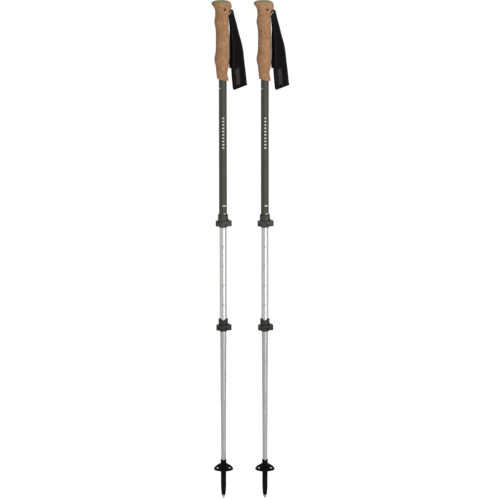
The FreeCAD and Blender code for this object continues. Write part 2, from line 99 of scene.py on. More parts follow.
class Graph:
    """Node graph of a material or a world, with short calls to add and join nodes."""

    def __init__(self, owner: Material | bpy.types.World) -> None:
        """Take over the node tree of its owner and empty it.

        Args:
            owner: the material or the world.
        """
        owner.use_nodes = True
        self.tree = owner.node_tree
        self.tree.nodes.clear()

    def add(self, kind: str, settings: dict | None = None, **sockets: object) -> Node:
        """Add one node.

        Args:
            kind: Blender's name of the node type.
            settings: attributes of the node, such as a noise dimension.
            sockets: input values by socket name, with _ for a space.

        Returns:
            The new node.
        """
        node = self.tree.nodes.new(kind)
        for key, value in (settings or {}).items():
            setattr(node, key, value)
        for key, value in sockets.items():
            node.inputs[key.replace("_", " ")].default_value = value
        return node

    def join(self, start: Node, output: str | int, end: Node, socket: str | int) -> None:
        """Link an output to an input."""
        self.tree.links.new(start.outputs[output], end.inputs[socket])

    def level(self, source: Node, output: str | int, low: float, high: float,
              start: float = 0.0, end: float = 1.0) -> Node:
        """Map a value from one range to another, clamped.

        Args:
            source: node that gives the value.
            output: its output.
            low, high: result at the two ends.
            start, end: value at the two ends.

        Returns:
            The Map Range node.
        """
        limits = {"From_Min": start, "From_Max": end, "To_Min": low, "To_Max": high}
        node = self.add("ShaderNodeMapRange", **limits)
        self.join(source, output, node, "Value")
        return node

    def glow(self, low: float, high: float) -> Node:
        """A glow that the camera and reflections see, and a lower one that lights.

        Args:
            low: value for all other rays.
            high: value for rays of the camera and of reflections.

        Returns:
            The node with the value in its first output.
        """
        rays = self.add("ShaderNodeLightPath")
        seen = self.add("ShaderNodeMath", {"operation": "MAXIMUM"})
        self.join(rays, "Is Camera Ray", seen, 0)
        self.join(rays, "Is Glossy Ray", seen, 1)
        return self.level(seen, 0, low, high)


class FinishGraph(Graph):
    """Node graph of one material, round a Principled shader."""

    def __init__(self, name: str) -> None:
        """Make a material with nothing but its shader.

        Args:
            name: name of the material.
        """
        self.material = bpy.data.materials.new(name)
        super().__init__(self.material)
        self.shader = self.add("ShaderNodeBsdfPrincipled")
        output = self.add("ShaderNodeOutputMaterial")
        self.join(self.shader, "BSDF", output, "Surface")

    def place(self, x: float = 1.0, y: float = 1.0, z: float = 1.0) -> Node:
        """Object coordinates in millimetres, with each axis scaled.

        Args:
            x, y, z: factor on each axis, below 1 to stretch a pattern along it.

        Returns:
            A Mapping node whose Vector output carries the coordinates.
        """
        source = self.add("ShaderNodeTexCoord")
        mapping = self.add("ShaderNodeMapping", Scale=(1000 * x, 1000 * y, 1000 * z))
        self.join(source, "Object", mapping, "Vector")
        return mapping

    def noise(self, where: Node, size: float, detail: float = 3.0, rough: float = 0.55) -> Node:
        """Noise texture.

        Args:
            where: node whose first output carries coordinates in mm.
            size: size of the largest features, in mm.
            detail: number of octaves.
            rough: share of the fine octaves.

        Returns:
            The Noise Texture node.
        """
        node = self.add("ShaderNodeTexNoise", Scale=1.0 / size, Detail=detail, Roughness=rough)
        self.join(where, 0, node, "Vector")
        return node

    def ramp(self, source: Node, output: str | int, stops: Sequence[tuple[float, str]]) -> Node:
        """Colour ramp fed by a value.

        Args:
            source: node that gives the value.
            output: its output.
            stops: (position, sRGB code) pairs, in order.

        Returns:
            The ColorRamp node.
        """
        node = self.add("ShaderNodeValToRGB")
        elements = node.color_ramp.elements
        while len(elements) < len(stops):
            elements.new(0.5)
        for element, (position, code) in zip(elements, stops):
            element.position = position
            element.color = colour(code)
        self.join(source, output, node, "Fac")
        return node

    def mix(self, factor: Node | float, a: Node | str, b: Node | str, kind: str = "MIX") -> Node:
        """Mix two colours.

        Args:
            factor: node with the share of b in its first output, or a number.
            a, b: node with a colour in its first output, or an sRGB code.
            kind: blend type, such as MULTIPLY.

        Returns:
            The MixRGB node.
        """
        node = self.add("ShaderNodeMixRGB", {"blend_type": kind})
        if isinstance(factor, (int, float)):
            node.inputs["Fac"].default_value = factor
        else:
            self.join(factor, 0, node, "Fac")
        for socket, value in (("Color1", a), ("Color2", b)):
            if isinstance(value, str):
                node.inputs[socket].default_value = colour(value)
            else:
                self.join(value, 0, node, socket)
        return node

    def bump(self, height: Node, output: str | int, depth: float, strength: float = 1.0,
             below: Node | None = None) -> Node:
        """Bump from a height, stacked on another bump if one is given.

        Args:
            height: node that gives a height from 0 to 1.
            output: its output.
            depth: height of a value of 1, in mm.
            strength: share of the effect.
            below: Bump node that this one adds to.

        Returns:
            The Bump node.
        """
        node = self.add("ShaderNodeBump", Strength=strength, Distance=depth * MM)
        self.join(height, output, node, "Height")
        if below is not None:
            self.join(below, "Normal", node, "Normal")
        return node

    def finish(self, base: Node, normal: Node | None, roughness: Node, **constants: float) -> Material:
        """Feed the shader and set its constant sockets.

        Args:
            base: node with the colour in its first output.
            normal: last Bump node, or None for a flat finish.
            roughness: node with the roughness in its first output.
            constants: shader sockets that are the same all over, _ for a space.

        Returns:
            The finished material.
        """
        self.join(base, 0, self.shader, "Base Color")
        if normal is not None:
            self.join(normal, "Normal", self.shader, "Normal")
        self.join(roughness, 0, self.shader, "Roughness")
        for key, value in constants.items():
            self.shader.inputs[key.replace("_", " ")].default_value = value
        return self.material


@dataclass(frozen=True)
class Cork:
    """Agglomerated cork: pressed granules of mixed browns with dark specks."""

    granule: float = 2.6
    speck: float = 1.1

    def build(self) -> Material:
        """Granule colours come from a cell pattern bent by noise, specks from a finer one."""
        g = FinishGraph("agglomerated_cork")
        where = g.place()
        wander = g.noise(where, 2.2, 2.0)
        bent = g.add("ShaderNodeMixRGB", {"blend_type": "LINEAR_LIGHT"}, Fac=0.9)
        g.join(where, 0, bent, "Color1")
        g.join(wander, "Color", bent, "Color2")
        cells = g.add("ShaderNodeTexVoronoi", Scale=1.0 / self.granule)
        g.join(bent, 0, cells, "Vector")
        tones = g.ramp(cells, "Color", [
            (0.0, "#8b684c"), (0.25, "#a17b5b"), (0.55, "#ae8867"), (0.8, "#bd9775"), (1.0, "#cfab8a")])
        edges = g.add("ShaderNodeTexVoronoi", {"feature": "DISTANCE_TO_EDGE"}, Scale=1.0 / self.granule)
        g.join(bent, 0, edges, "Vector")
        seam = g.level(edges, "Distance", 0.40, 0.0, 0.0, 0.10)
        jointed = g.mix(seam, tones, "#7d5b40")
        fine = g.noise(where, self.speck, 4.0, 0.7)
        dots = g.level(fine, "Fac", 0.0, 0.7, 0.64, 0.71)
        speckled = g.mix(dots, jointed, "#624630")
        broad = g.noise(where, 26.0, 2.0)
        shade = g.ramp(broad, "Fac", [(0.3, "#e9ddd2"), (0.7, "#fffaf4")])
        tinted = g.mix(1.0, speckled, shade, "MULTIPLY")
        pits = g.bump(fine, "Fac", 0.25, 0.5)
        relief = g.bump(edges, "Distance", 0.35, 0.35, pits)
        rough = g.level(fine, "Fac", 0.58, 0.85, 0.3, 0.7)
        return g.finish(tinted, relief, rough, Specular_IOR_Level=0.2)


@dataclass(frozen=True)
class CapRubber:
    """Khaki thermoplastic rubber of the grip cap, softly textured."""

    grain: float = 0.5

    def build(self) -> Material:
        """Matt rubber with a fine moulded grain and a faint sheen."""
        g = FinishGraph("khaki_soft_touch_rubber")
        where = g.place()
        grain = g.noise(where, self.grain, 3.0)
        broad = g.noise(where, 12.0, 2.0)
        base = g.ramp(broad, "Fac", [(0.3, "#8f7c56"), (0.7, "#a8946a")])
        relief = g.bump(grain, "Fac", 0.06, 0.5)
        rough = g.level(grain, "Fac", 0.5, 0.72)
        return g.finish(base, relief, rough, Sheen_Weight=0.1, Sheen_Roughness=0.5, Specular_IOR_Level=0.3)


@dataclass(frozen=True)
class PaintedTube:
    """Satin olive-grey paint on aluminium."""

    peel: float = 1.6

    def build(self) -> Material:
        """Paint with faint orange peel and handling marks along the tube."""
        g = FinishGraph("olive_grey_satin_paint")
        where = g.place()
        peel = g.noise(where, self.peel, 2.0)
        along = g.noise(g.place(1.0, 1.0, 0.03), 0.9, 3.0)
        flake = g.noise(where, 0.25, 1.0)
        base = g.ramp(flake, "Fac", [(0.3, "#363830"), (0.7, "#42443c")])
        rub = g.level(along, "Fac", 0.0, 0.22, 0.55, 0.75)
        worn = g.mix(rub, base, "#52534a")
        relief = g.bump(peel, "Fac", 0.03, 0.35)
        rough = g.level(along, "Fac", 0.38, 0.52, 0.3, 0.7)
        return g.finish(worn, relief, rough, Metallic=0.1, Specular_IOR_Level=0.25)


@dataclass(frozen=True)
class SilverTube:
    """Anodised aluminium, drawn along its length."""

    name: str
    dark: str
    light: str
    line: float = 0.35

    def build(self) -> Material:
        """Fine drawing lines along Z with light slide marks from the locks."""
        g = FinishGraph(self.name)
        drawn = g.noise(g.place(1.0, 1.0, 0.012), self.line, 3.0, 0.6)
        broad = g.noise(g.place(1.0, 1.0, 0.15), 7.0, 3.0)
        base = g.ramp(drawn, "Fac", [(0.3, self.dark), (0.7, self.light)])
        smear = g.ramp(broad, "Fac", [(0.3, "#eeeeee"), (0.7, "#ffffff")])
        toned = g.mix(1.0, base, smear, "MULTIPLY")
        relief = g.bump(drawn, "Fac", 0.012, 0.35)
        rough = g.level(broad, "Fac", 0.22, 0.32, 0.3, 0.7)
        return g.finish(toned, relief, rough, Metallic=0.92)


@dataclass(frozen=True)
class MouldedNylon:
    """Glass-filled nylon as moulded, with a spark-eroded grain."""

    name: str
    dark: str
    light: str
    grain: float = 0.35
    smooth: float = 0.42
    gloss: float = 0.25
    scuffed: str = "#4a4a48"

    def build(self) -> Material:
        """Fine grain in the relief, flow marks in the colour, light scuffs in the gloss."""
        g = FinishGraph(self.name)
        where = g.place()
        grain = g.noise(where, self.grain, 3.0, 0.6)
        flow = g.noise(g.place(1.0, 1.0, 0.7), 5.0, 3.0)
        base = g.ramp(flow, "Fac", [(0.38, self.dark), (0.62, self.light)])
        scuff = g.noise(g.place(1.0, 0.5, 1.0), 3.6, 5.0, 0.7)
        marks = g.level(scuff, "Fac", 0.0, 0.55, 0.56, 0.70)
        worn = g.mix(marks, base, self.scuffed)
        relief = g.bump(grain, "Fac", 0.05, 0.5)
        rough = g.level(scuff, "Fac", self.smooth, self.smooth + 0.22, 0.35, 0.7)
        return g.finish(worn, relief, rough, Specular_IOR_Level=self.gloss)


@dataclass(frozen=True)
class PlainSteel:
    """Turned stainless steel of pins, bolts and nuts."""

    def build(self) -> Material:
        """Turning marks round the part as fine noise and a mid gloss."""
        g = FinishGraph("turned_stainless_steel")
        marks = g.noise(g.place(1.0, 1.0, 4.0), 0.5, 3.0)
        base = g.ramp(marks, "Fac", [(0.3, "#8e8d8a"), (0.7, "#aaa9a6")])
        relief = g.bump(marks, "Fac", 0.02, 0.4)
        rough = g.level(marks, "Fac", 0.28, 0.45)
        return g.finish(base, relief, rough, Metallic=1.0)


@dataclass(frozen=True)
class BlackenedSteel:
    """Black-oxide steel of the bolts and hinge pins in the locks."""

    def build(self) -> Material:
        """Oxide black with thin rubbed places."""
        g = FinishGraph("black_oxide_steel")
        marks = g.noise(g.place(1.0, 1.0, 3.0), 0.5, 3.0)
        base = g.ramp(marks, "Fac", [(0.3, "#121212"), (0.65, "#1e1e1d"), (0.8, "#3a3a38")])
        relief = g.bump(marks, "Fac", 0.02, 0.4)
        rough = g.level(marks, "Fac", 0.35, 0.55)
        return g.finish(base, relief, rough, Metallic=0.5)


@dataclass(frozen=True)
class GroundCarbide:
    """Sintered tungsten carbide, ground and a little scratched by stone."""

    def build(self) -> Material:
        """Grey hard metal with short scratches."""
        g = FinishGraph("ground_tungsten_carbide")
        scratch = g.noise(g.place(1.0, 1.0, 0.25), 0.5, 4.0, 0.7)
        base = g.ramp(scratch, "Fac", [(0.3, "#7f7f7c"), (0.7, "#a9a9a5")])
        relief = g.bump(scratch, "Fac", 0.04, 0.5)
        rough = g.level(scratch, "Fac", 0.35, 0.55)
        return g.finish(base, relief, rough, Metallic=0.95)


@dataclass(frozen=True)
class Webbing:
    """Black polyester webbing, woven in ribs across its width."""

    rib: float = 1.1
    yarn: float = 0.8

    def build(self) -> Material:
        """Weave on the piece's own map, U across and V along in millimetres.

        Two waves, along and across, multiply to the relief of a plain weave, and
        noise roughens the yarns and varies the black.
        """
        g = FinishGraph("woven_polyester_webbing")
        source = g.add("ShaderNodeTexCoord")
        ribs = g.add("ShaderNodeTexWave", {"bands_direction": "Y"},
                     Scale=0.5 / self.rib, Distortion=0.4, Detail_Scale=2.0)
        yarns = g.add("ShaderNodeTexWave", {"bands_direction": "X"}, Scale=0.5 / self.yarn, Distortion=0.3)
        g.join(source, "UV", ribs, "Vector")
        g.join(source, "UV", yarns, "Vector")
        weave = g.add("ShaderNodeMath", {"operation": "MULTIPLY"})
        g.join(ribs, "Fac", weave, 0)
        g.join(yarns, "Fac", weave, 1)
        fuzz = g.noise(g.place(), 0.6, 3.0)
        broad = g.noise(g.place(), 18.0, 3.0)
        base = g.ramp(weave, 0, [(0.0, "#080707"), (0.6, "#100f0e"), (1.0, "#1b1918")])
        shade = g.ramp(broad, "Fac", [(0.3, "#cfcac4"), (0.7, "#ffffff")])
        toned = g.mix(1.0, base, shade, "MULTIPLY")
        coarse = g.bump(weave, 0, 0.30, 0.6)
        relief = g.bump(fuzz, "Fac", 0.08, 0.4, coarse)
        rough = g.level(fuzz, "Fac", 0.72, 0.92)
        sheen = {"Sheen_Weight": 0.06, "Sheen_Roughness": 0.45}
        return g.finish(toned, relief, rough, Specular_IOR_Level=0.08, **sheen)


@dataclass(frozen=True)
class Thread:
    """Twisted polyester sewing thread."""

    name: str
    dark: str
    light: str

    def build(self) -> Material:
        """Thread with a fine twist."""
        g = FinishGraph(self.name)
        twist = g.noise(g.place(), 0.2, 2.0)
        base = g.ramp(twist, "Fac", [(0.3, self.dark), (0.7, self.light)])
        relief = g.bump(twist, "Fac", 0.04, 0.5)
        rough = g.level(twist, "Fac", 0.5, 0.7)
        return g.finish(base, relief, rough, Sheen_Weight=0.2)


@dataclass(frozen=True)
class StainedPin:
    """Burnished steel pin of the strap, browned, with the shade of its hole painted into its colour."""

    def build(self) -> Material:
        """Dark brown oxide with a few bare specks, darkened further by painted shade."""
        g = FinishGraph("browned_steel_pin_with_painted_shade")
        stain = g.noise(g.place(), 0.9, 4.0, 0.65)
        # Painted shade: the very dark browns hold the shade of the pin's hole as well as its oxide.
        base = g.ramp(stain, "Fac", [(0.3, "#1d0c09"), (0.6, "#33140f"), (0.8, "#4a2a22")])
        relief = g.bump(stain, "Fac", 0.03, 0.5)
        rough = g.level(stain, "Fac", 0.40, 0.6)
        return g.finish(base, relief, rough, Metallic=0.4)


@dataclass(frozen=True)
class Ink:
    """Screen-printed ink of the length scale and the plain stripes, also used for a painted highlight."""

    name: str
    dark: str
    light: str

    def build(self) -> Material:
        """Thin matt ink with slight misses."""
        g = FinishGraph(self.name)
        miss = g.noise(g.place(), 0.4, 3.0)
        base = g.ramp(miss, "Fac", [(0.3, self.dark), (0.7, self.light)])
        rough = g.level(miss, "Fac", 0.45, 0.65)
        return g.finish(base, None, rough)


def put(name: str, data: bpy.types.ID) -> Piece:
    """Put data into the scene as an object.

    Args:
        name: name of the object.
        data: its mesh, lamp, text or camera.

    Returns:
        The object.
    """
    made = bpy.data.objects.new(name, data)
    bpy.context.scene.collection.objects.link(made)
    return made


def mesh_of(name: str, points: np.ndarray, faces: list[list[int]]) -> bpy.types.Mesh:
    """Make a smooth mesh.

    Args:
        name: name of the mesh.
        points: corners by 3, in mm, with heights above the ground point.
        faces: the corners of each face, anticlockwise seen from outside.

    Returns:
        The mesh, in metres in the frame of the CAD.
    """
    mesh = bpy.data.meshes.new(name)
    mesh.from_pydata(((points - ORIGIN) * MM).tolist(), [], faces)
    mesh.update()
    mesh.shade_smooth()
    return mesh


def surface(name: str, points: np.ndarray, ring: bool = False, chart: np.ndarray | None = None) -> Piece:
    """Make a piece from a grid of points.

    Args:
        name: name of the piece.
        points: array of rows by columns by 3, in mm, heights above the ground point.
        ring: whether each row joins up into a ring, with a cover on both ends.
        chart: array of rows by columns by 2 with the map, or None.

    Returns:
        The new object, with smooth faces that point outwards for a grid whose
        columns run anticlockwise seen from the last row.
    """
    rows, columns = points.shape[:2]
    across = np.arange(columns if ring else columns - 1)
    i, j = (a.ravel() for a in np.meshgrid(np.arange(rows - 1), across, indexing="ij"))
    near, far = i * columns, (i + 1) * columns
    left, right = j, (j + 1) % columns
    quads = np.stack([near + left, near + right, far + right, far + left], axis=1)
    faces = quads.tolist()
    if ring:
        faces.append(list(range(columns))[::-1])
        faces.append(list(range((rows - 1) * columns, rows * columns)))
    mesh = mesh_of(name, points.reshape(-1, 3), faces)
    if chart is not None:
        flat = chart.reshape(-1, 2)
        index = np.empty(len(mesh.loops), dtype=np.int32)
        mesh.loops.foreach_get("vertex_index", index)
        layer = mesh.uv_layers.new(name="cloth")
        layer.data.foreach_set("uv", flat[index].astype(np.float32).ravel())
    return put(name, mesh)


def smooth_path(stations: np.ndarray, count: int) -> np.ndarray:
    """Carry a row of stations along a smooth curve.

    Each value follows a Catmull-Rom cubic: between two stations it is the cubic
    whose slope at each station is half the step between that station's neighbours.

    Args:
        stations: array of stations by values.
        count: number of steps from one station to the next.

    Returns:
        Array of (stations - 1) * count + 1 rows by values.
    """
    padded = np.vstack([2 * stations[0] - stations[1], stations, 2 * stations[-1] - stations[-2]])
    t = np.linspace(0, 1, count, endpoint=False)[None, :, None]
    a, b, c, d = (padded[k:len(padded) - 3 + k, None, :] for k in range(4))
    square, cube = 2 * a - 5 * b + 4 * c - d, 3 * b - 3 * c + d - a
    body = 0.5 * (2 * b + (c - a) * t + square * t ** 2 + cube * t ** 3)
    return np.vstack([body.reshape(-1, stations.shape[1]), stations[-1:]])


def unit(v: np.ndarray) -> np.ndarray:
    """Vectors of the last axis, scaled to a length of 1."""
    return v / np.linalg.norm(v, axis=-1, keepdims=True)


def travelled(path: np.ndarray) -> np.ndarray:
    """Distance along a path at each of its points."""
    steps = np.linalg.norm(np.diff(path, axis=0), axis=1)
    return np.concatenate([[0.0], np.cumsum(steps)])


def sample(values: np.ndarray, marks: np.ndarray, where: np.ndarray) -> np.ndarray:
    """Rows of values at places between the given marks.

    Args:
        values: one row for each mark.
        marks: rising place of each row.
        where: places to read.

    Returns:
        One row for each place, straight between its two neighbours.
    """
    return np.stack([np.interp(where, marks, column) for column in values.T], axis=-1)


def rounded(share: np.ndarray) -> np.ndarray:
    """Coordinate of a superellipse with flat sides, from a circle's coordinate."""
    squareness = 0.42
    return np.sign(share) * np.abs(share) ** squareness


def ribbon(name: str, centre: np.ndarray, width: np.ndarray, normal: np.ndarray, breadth: np.ndarray,
           thickness: float, binding: float = 0.0, corners: int = 28) -> Piece:
    """Flat webbing along a path.

    The section is a superellipse, |x|^p + |y|^p = 1 with p = 2 / 0.42, so that the
    faces are flat and the edges round. A bound edge stands a little proud: the
    thickness grows by its share from 70 to 82 % of the half width, and only where
    the ribbon is wider than the plain webbing.

    Args:
        name: name of the piece.
        centre: path, rows by 3, in mm.
        width, normal: unit directions of each row.
        breadth: width of each row, in mm.
        thickness: thickness of the webbing, in mm.
        binding: share by which a bound edge is thicker.
        corners: points round the section.

    Returns:
        The closed ribbon, with U across and V along the path in mm.
    """
    edge_from, edge_blend, full_binding = 0.70, 0.12, 3.0
    a = np.linspace(0, 2 * math.pi, corners, endpoint=False) + math.pi / corners
    across, through = rounded(np.cos(a)), rounded(np.sin(a))
    step = np.clip((np.abs(across) - edge_from) / edge_blend, 0.0, 1.0)
    wider = (breadth - breadth.min()) / max(np.ptp(breadth), 0.001)
    widening = np.clip(wider * full_binding, 0.0, 1.0)
    proud = 1.0 + binding * (step * step * (3 - 2 * step))[None, :] * widening[:, None]
    reach = width[:, None, :] * (across[None, :, None] * breadth[:, None, None] / 2)
    depth = normal[:, None, :] * (through[None, :] * proud * thickness / 2)[:, :, None]
    points = centre[:, None, :] + reach + depth
    u = np.broadcast_to(across * breadth[:, None] / 2, points.shape[:2])
    v = np.broadcast_to(travelled(centre)[:, None], points.shape[:2])
    return surface(name, points, True, np.stack([u, v], axis=-1))


def stitches(name: str, path: np.ndarray, facing: np.ndarray, pitch: float, length: float,
             thickness: float = 0.75) -> Piece:
    """Row of sewn stitches along a path, each a small flattened grain of thread.

    A grain is a turned form about the path, with a radius of the square root of
    sin(pi t) from t = 0 at one end to 1 at the other, and half as deep as wide.

    Args:
        name: name of the piece.
        path: points of the seam on the cloth, rows by 3, in mm.
        facing: unit normal of the cloth at each point.
        pitch, length: distance from stitch to stitch and length of one, in mm.
        thickness: width of the thread, in mm.

    Returns:
        The stitches as one mesh of separate closed grains.
    """
    rings, sides, flatness, end_share, reach = 5, 6, 0.5, 0.03, 0.5
    run = travelled(path)
    at = np.arange(pitch / 2, run[-1], pitch)
    along = unit(sample(path, run, at + reach) - sample(path, run, at - reach))
    out = unit(sample(facing, run, at))
    side = np.cross(out, along)
    place = sample(path, run, at)
    t = np.linspace(end_share, 1 - end_share, rings)
    a = np.linspace(0, 2 * math.pi, sides, endpoint=False)
    radius = np.sqrt(np.sin(math.pi * t)) * thickness / 2
    local = np.stack([
        np.broadcast_to(((t - 0.5) * length)[:, None], (rings, sides)),
        radius[:, None] * np.cos(a)[None, :],
        flatness * radius[:, None] * np.sin(a)[None, :],
    ], axis=-1).reshape(-1, 3)
    axes = np.stack([along, side, out], axis=1)
    points = (place[:, None, :] + local @ axes).reshape(-1, 3)
    i, j = (k.ravel() for k in np.meshgrid(np.arange(rings - 1), np.arange(sides), indexing="ij"))
    near, far, after = i * sides, (i + 1) * sides, (j + 1) % sides
    quads = np.stack([near + j, near + after, far + after, far + j], axis=1)
    caps = np.stack([np.arange(sides)[::-1], np.arange((rings - 1) * sides, rings * sides)])
    shift = (np.arange(len(at)) * rings * sides)[:, None, None]
    faces = (quads + shift).reshape(-1, 4).tolist() + (caps + shift).reshape(-1, sides).tolist()
    return put(name, mesh_of(name, points, faces))


@dataclass
class WristStrap:
    """Webbing of one pole: the part in the slot, the wrist loop and the loose tail.

    A station of the loop holds its place from the mouth of the slot and the drop
    below it, in mm, the lean of the run and the turn of the width, in degrees, and
    the shares of the widening to the cuff and of its opening. A station of the
    tail holds its X from the mouth, its Y, its drop and its turn.
    """

    side: Side
    slot_start: float = 9.0
    slot_end: float = 21.6
    mouth_x: float = 22.2
    mouth_height: float = 1251.5
    thickness: float = 1.6
    layer_gap: float = 0.4
    webbing_width: float = 18.0
    cuff_width: float = 36.5
    cuff_gap: float = 10.5
    binding: float = 0.22
    fold_turn: float = 60.0
    fold_tilt: float = 0.74
    tail_thickness: float = 1.4
    tail_lean: float = 2.0
    steps: int = 8
    slot_steps: int = 6
    fold_steps: int = 16
    stations: tuple[tuple[float, ...], ...] = (
        (0.4, 0.0, 80.0, 0.0, 0.0, 0.0),
        (1.6, 1.3, 45.0, 6.0, 0.0, 0.01),
        (1.7, 4.3, 10.0, 14.0, 0.0, 0.02),
        (0.8, 8.5, -4.0, 28.0, 0.01, 0.04),
        (0.5, 13.5, 2.0, 38.0, 0.03, 0.06),
        (1.8, 24.5, 7.0, 46.0, 0.06, 0.15),
        (5.0, 44.5, 9.0, 56.0, 0.16, 0.3),
        (8.2, 64.5, 9.0, 60.0, 0.28, 0.5),
        (11.7, 85.5, 8.0, 64.0, 0.48, 0.7),
        (13.6, 105.5, 6.0, 67.0, 0.65, 0.85),
        (14.8, 126.5, 5.0, 71.0, 0.76, 0.95),
        (16.3, 146.5, 5.0, 74.0, 0.87, 1.0),
        (18.2, 167.5, 5.0, 77.0, 0.95, 0.95),
        (20.2, 189.0, 6.0, 79.0, 1.0, 0.8),
    )
    tail_stations: tuple[tuple[float, ...], ...] = (
        (-1.1, 0.7, 4.3, 12.0),
        (-1.4, 1.5, 8.5, 24.0),
        (-2.0, 1.9, 13.5, 36.0),
        (-0.5, 2.4, 24.5, 44.0),
        (2.0, 4.1, 44.5, 53.0),
        (0.6, 4.2, 66.0, 45.0),
        (-0.2, 4.2, 85.5, 40.0),
        (-0.2, 4.7, 105.5, 40.0),
        (-0.1, 5.6, 126.5, 40.0),
        (0.0, 6.2, 145.8, 40.0),
    )
    stitch_pitch: float = 3.6
    stitch_length: float = 2.7
    stitch_lift: float = 0.05
    seam_start: float = 0.46
    seam_inset: float = 3.0
    patch_span: tuple[float, float] = (0.84, 0.985)
    patch_swing: float = 5.0
    patch_middle: float = -4.0
    patch_turns: int = 8
    bend_start: tuple[float, float] = (22.0, 1252.0)
    bend_end: tuple[float, float] = (23.0, 1233.0)
    pieces: list[Piece] = field(default_factory=list)
    threads: list[Piece] = field(default_factory=list)

    def directions(self, lean: np.ndarray, turn: np.ndarray,
                   tilt: np.ndarray) -> tuple[np.ndarray, np.ndarray]:
        """Width and normal of each section.

        The run leans away from straight down, the width turns from Y towards X
        about the run, and tilt drops the near edge of the cuff.

        Args:
            lean, turn, tilt: angles of each row, in degrees.

        Returns:
            Unit width and unit normal, rows by 3.
        """
        lean, turn, tilt = (np.radians(a) for a in (lean, turn, tilt))
        zero = np.zeros_like(lean)
        along = np.stack([np.sin(lean), zero, -np.cos(lean)], axis=-1)
        across = np.stack([np.cos(lean), zero, np.sin(lean)], axis=-1)
        width = across * np.sin(turn)[:, None]
        width[:, 1] = np.cos(turn)
        width[:, 2] += np.tan(tilt) * np.sin(turn)
        width = unit(width)
        return width, unit(np.cross(along, width))

    def layers(self) -> tuple[np.ndarray, ...]:
        """Run of the loop's webbing from the mouth to the fold.

        Returns:
            Middle line, width, outward normal, breadth and distance of a layer's
            middle from the middle line, one row for each step.
        """
        rows = smooth_path(np.array(self.stations), self.steps)
        x, drop, lean, turn, widening, opening = rows.T
        tilt = np.maximum(0.0, turn - self.fold_turn) * self.fold_tilt
        width, normal = self.directions(lean, turn, tilt)
        breadth = self.webbing_width + widening * (self.cuff_width - self.webbing_width)
        gap = self.layer_gap + opening * (self.cuff_gap - self.layer_gap)
        middle = np.stack([self.mouth_x + x + self.side.axis_x, 0 * x, self.mouth_height - drop], axis=-1)
        return middle, width, normal, breadth, (gap + self.thickness) / 2

    def loop(self) -> Piece:
        """Wrist loop with the webbing in the slot, one unbroken ribbon.

        The path goes from the pin to the mouth, down the outer layer, round a
        half circle at the fold, up the inner layer and back to the pin.

        Returns:
            The ribbon.
        """
        middle, width, normal, breadth, offset = self.layers()
        along = unit(np.cross(normal[-1], width[-1]))
        along = along if along[2] < 0 else -along
        a = np.linspace(0, math.pi, self.fold_steps + 2)[1:-1, None]
        fold_normal = normal[-1] * np.cos(a) + along * np.sin(a)
        fold = middle[-1] + fold_normal * offset[-1]
        count = self.slot_steps
        inside = np.linspace(self.slot_start, self.slot_end, count) + self.side.axis_x
        slot = np.stack([inside, 0 * inside, 0 * inside + self.mouth_height], axis=-1)
        flat = np.tile([0.0, 1.0, 0.0], (count, 1))
        up = np.tile([0.0, 0.0, 1.0], (count, 1))
        step = up * (self.layer_gap + self.thickness) / 2
        shift = normal * offset[:, None]
        outer, inner = (slot + step, middle + shift), (slot - step, middle - shift)
        centre = np.vstack([*outer, fold, inner[1][::-1], inner[0][::-1]])
        widths = np.vstack([flat, width, np.tile(width[-1], (len(a), 1)), width[::-1], flat])
        normals = np.vstack([up, normal, fold_normal, -normal[::-1], -up])
        narrow = np.full(count, self.webbing_width)
        spans = np.concatenate([narrow, breadth, np.full(len(a), breadth[-1]), breadth[::-1], narrow])
        name = f"{self.side.label}_wrist_loop_webbing"
        return ribbon(name, centre, widths, normals, spans, self.thickness, self.binding)

    def tail(self) -> Piece:
        """Loose end that hangs down the back of the grip, cut square."""
        rows = smooth_path(np.array(self.tail_stations), self.steps)
        x, y, drop, turn = rows.T
        width, normal = self.directions(np.full_like(x, self.tail_lean), turn, np.zeros_like(x))
        centre = np.stack([self.mouth_x + x + self.side.axis_x, y, self.mouth_height - drop], axis=-1)
        spans = np.full(len(x), self.webbing_width)
        name = f"{self.side.label}_tail_webbing"
        return ribbon(name, centre, width, normal, spans, self.tail_thickness)

    def seam(self, name: str, across: np.ndarray, rows: np.ndarray, outward: float) -> Piece:
        """Row of stitches on one face of the loop.

        Args:
            name: end of the piece's name.
            across: place of each point of the seam across the webbing, in mm.
            rows: place of each point along the run, counted in steps.
            outward: 1 for the outer layer's outer face, -1 for the inner layer's.

        Returns:
            The stitches, as one piece.
        """
        middle, width, normal, _, offset = self.layers()
        index = np.arange(len(middle))
        facing = unit(sample(normal, index, rows)) * outward
        depth = np.interp(rows, index, offset) + self.thickness / 2 + self.stitch_lift
        sideways = unit(sample(width, index, rows)) * across[:, None]
        place = sample(middle, index, rows) + sideways + facing * depth[:, None]
        return stitches(f"{self.side.label}_{name}", place, facing, self.stitch_pitch, self.stitch_length)

    def sew(self) -> list[Piece]:
        """Seams along both edges of the cuff, and a zigzag that closes its end.

        Returns:
            The stitch pieces.
        """
        breadth = self.layers()[3]
        last = len(breadth) - 1.0
        rows = np.linspace(self.seam_start * last, last - 0.5, 60)
        edge = np.interp(rows, np.arange(len(breadth)), breadth) / 2 - self.seam_inset
        made = []
        for face, outward in (("outer", 1.0), ("inner", -1.0)):
            made.append(self.seam(f"{face}_front_seam", -edge, rows, outward))
            made.append(self.seam(f"{face}_back_seam", edge, rows, outward))
        turns = np.linspace(0, self.patch_turns, 8 * self.patch_turns + 1)
        swing = 2 * np.abs(np.mod(turns, 1.0) * 2 - 1) - 1
        top, bottom = self.patch_span
        down = np.linspace(top * last, bottom * last, len(swing))
        made.append(self.seam("zigzag_patch", swing * self.patch_swing + self.patch_middle, down, 1.0))
        return made

